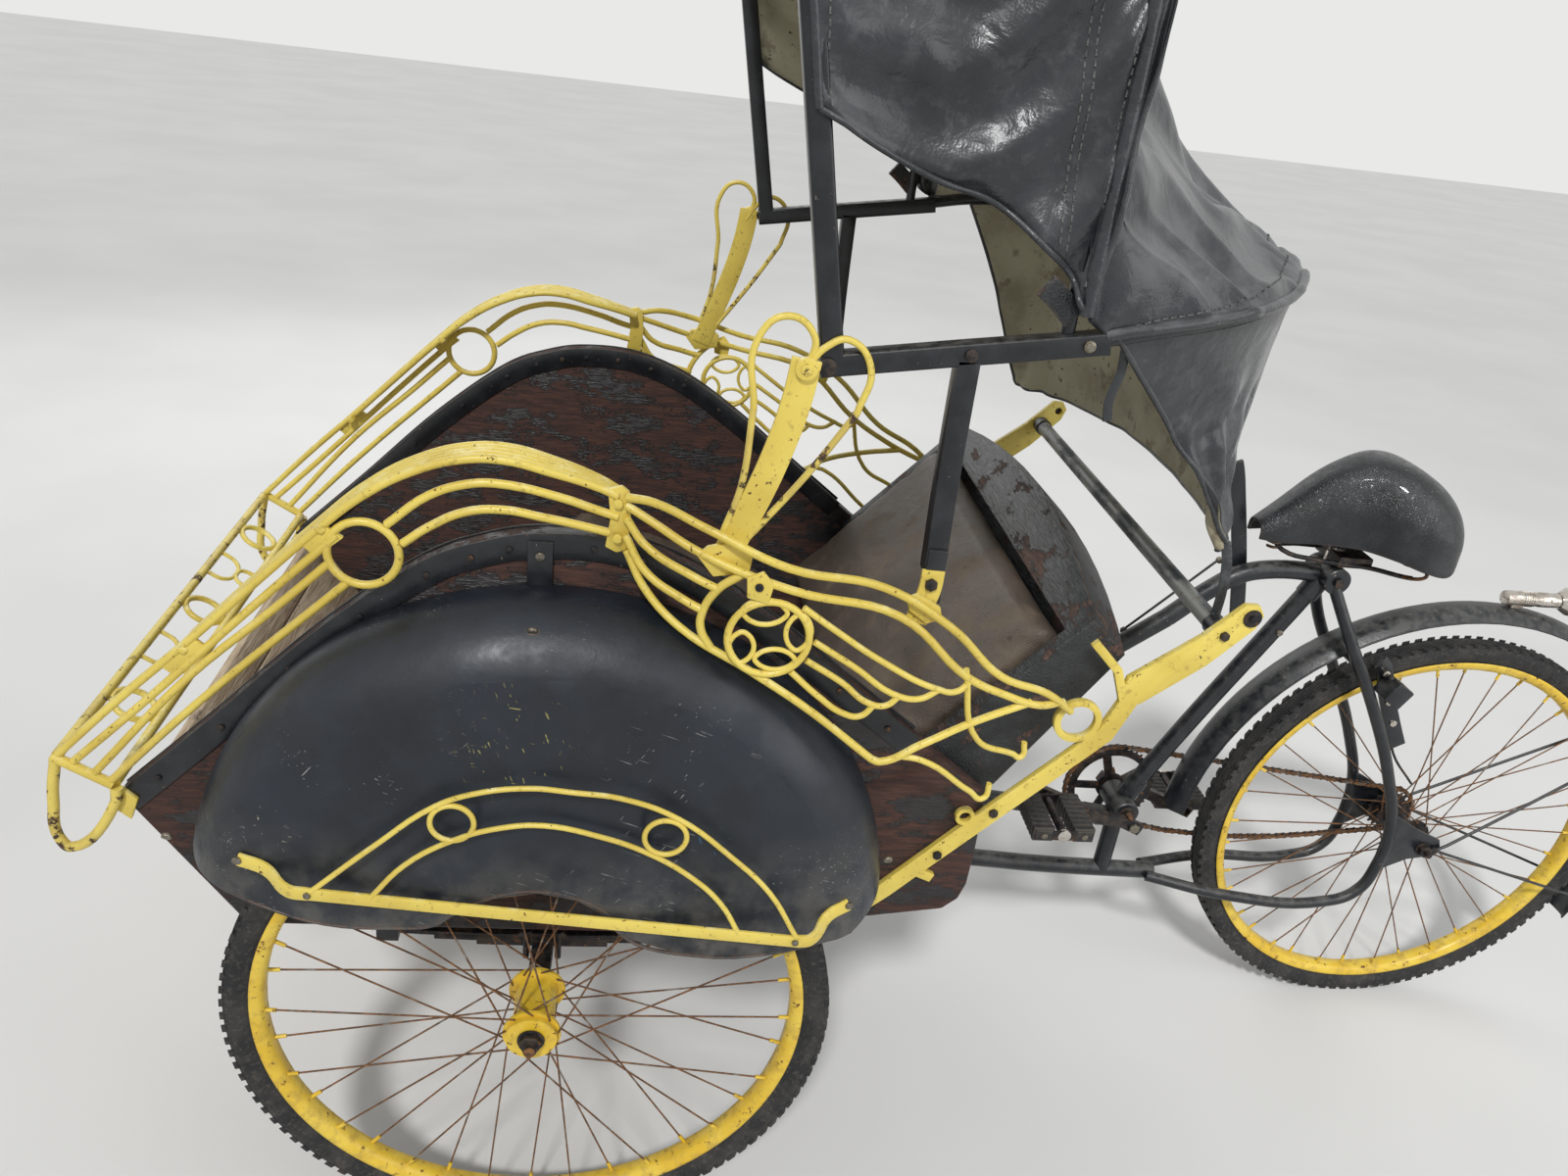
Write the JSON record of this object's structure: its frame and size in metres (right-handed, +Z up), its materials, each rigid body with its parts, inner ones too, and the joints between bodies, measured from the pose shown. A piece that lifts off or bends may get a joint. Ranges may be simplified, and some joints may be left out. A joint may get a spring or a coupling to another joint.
{
  "type": "cycle rickshaw",
  "caption": "Pedal cycle rickshaw: hooded passenger cabin with curled side ironwork between front wheels, pushed by the rear half of a bicycle and steered about a kingpin.",
  "frame": {"origin": "on the ground under the middle of the length and width, as it stands on its wheels", "axes": "+X forward, +Y to the left of the rider, +Z up"},
  "size_m": [2.329, 1.012, 1.807],
  "materials": {
    "black_enamel": "worn satin",
    "yellow_paint": "chipped gloss",
    "fender_paint": "scratched gloss",
    "grey_steel": "worn",
    "rusty_steel": "rusty",
    "dark_steel": "oily",
    "chrome": "pitted",
    "tyre": "matt",
    "rubber": "matt",
    "saddle_leather": "polished by use",
    "hood_cloth": "leathercloth",
    "vinyl": "dusty vinyl",
    "dark_wood": "flaking paint",
    "plywood": "worn bare",
    "grey_wood": "flaking paint"
  },
  "bodies": {
    "rear_frame": {"main_frame": "black_enamel", "rear_axle": "dark_steel", "mudguard": "black_enamel", "saddle": "saddle_leather", "saddle_springs": "dark_steel", "chain": "rusty_steel", "tail_lamp": "chrome"},
    "rear_wheel": {"rear_tyre": "tyre", "rear_rim": "yellow_paint", "rear_hub": "rusty_steel"},
    "cranks": {"crank_arms": "dark_steel", "chainring": "rusty_steel"},
    "left_pedal": {"left_pedal": "rubber"},
    "right_pedal": {"right_pedal": "rubber"},
    "left_wheel": {"left_tyre": "tyre", "left_rim": "yellow_paint", "left_hub": "yellow_paint"},
    "right_wheel": {"right_tyre": "tyre", "right_rim": "yellow_paint", "right_hub": "yellow_paint"},
    "cabin": {"back_cushion": "vinyl", "bumper": "yellow_paint", "floor_boards": "plywood", "front_axle": "dark_steel", "hood_cloth": "hood_cloth", "hood_frame": "black_enamel", "kingpin": "dark_steel", "leaf_springs": "dark_steel", "left_arch": "yellow_paint", "left_armrest": "yellow_paint", "left_fender": "fender_paint", "left_fender_trim": "yellow_paint", "left_lug_bar": "yellow_paint", "left_side_panel": "dark_wood", "push_bar": "grey_steel", "rear_curtain": "hood_cloth", "rear_member": "dark_wood", "right_arch": "yellow_paint", "right_armrest": "yellow_paint", "right_fender": "fender_paint", "right_fender_trim": "yellow_paint", "right_lug_bar": "yellow_paint", "right_side_panel": "dark_wood", "seat_back": "grey_wood", "seat_box": "dark_wood", "seat_cushion": "vinyl", "underframe": "black_enamel"}
  },
  "joints": [
    {"name": "rear_wheel_spin", "type": "hinge", "parent": "rear_frame", "child": "rear_wheel", "pos_m": [-0.76247, 0, 0.3555], "axis": [0, 1, 0], "continuous": true},
    {"name": "crank_spin", "type": "hinge", "parent": "rear_frame", "child": "cranks", "pos_m": [-0.25747, 0, 0.38], "axis": [0, 1, 0], "continuous": true},
    {"name": "left_pedal_spin", "type": "hinge", "parent": "cranks", "child": "left_pedal", "pos_m": [-0.08846, 0, 0.45525], "axis": [0, 1, 0], "continuous": true},
    {"name": "right_pedal_spin", "type": "hinge", "parent": "cranks", "child": "right_pedal", "pos_m": [-0.42647, 0, 0.30475], "axis": [0, 1, 0], "continuous": true},
    {"name": "steering", "type": "hinge", "parent": "rear_frame", "child": "cabin", "pos_m": [0.23753, 0, 0.35], "axis": [0, 0, 1], "range_deg": [-30, 30]},
    {"name": "left_wheel_spin", "type": "hinge", "parent": "cabin", "child": "left_wheel", "pos_m": [0.62953, 0.434, 0.3555], "axis": [0, 1, 0], "continuous": true},
    {"name": "right_wheel_spin", "type": "hinge", "parent": "cabin", "child": "right_wheel", "pos_m": [0.62953, -0.434, 0.3555], "axis": [0, 1, 0], "continuous": true}
  ]
}
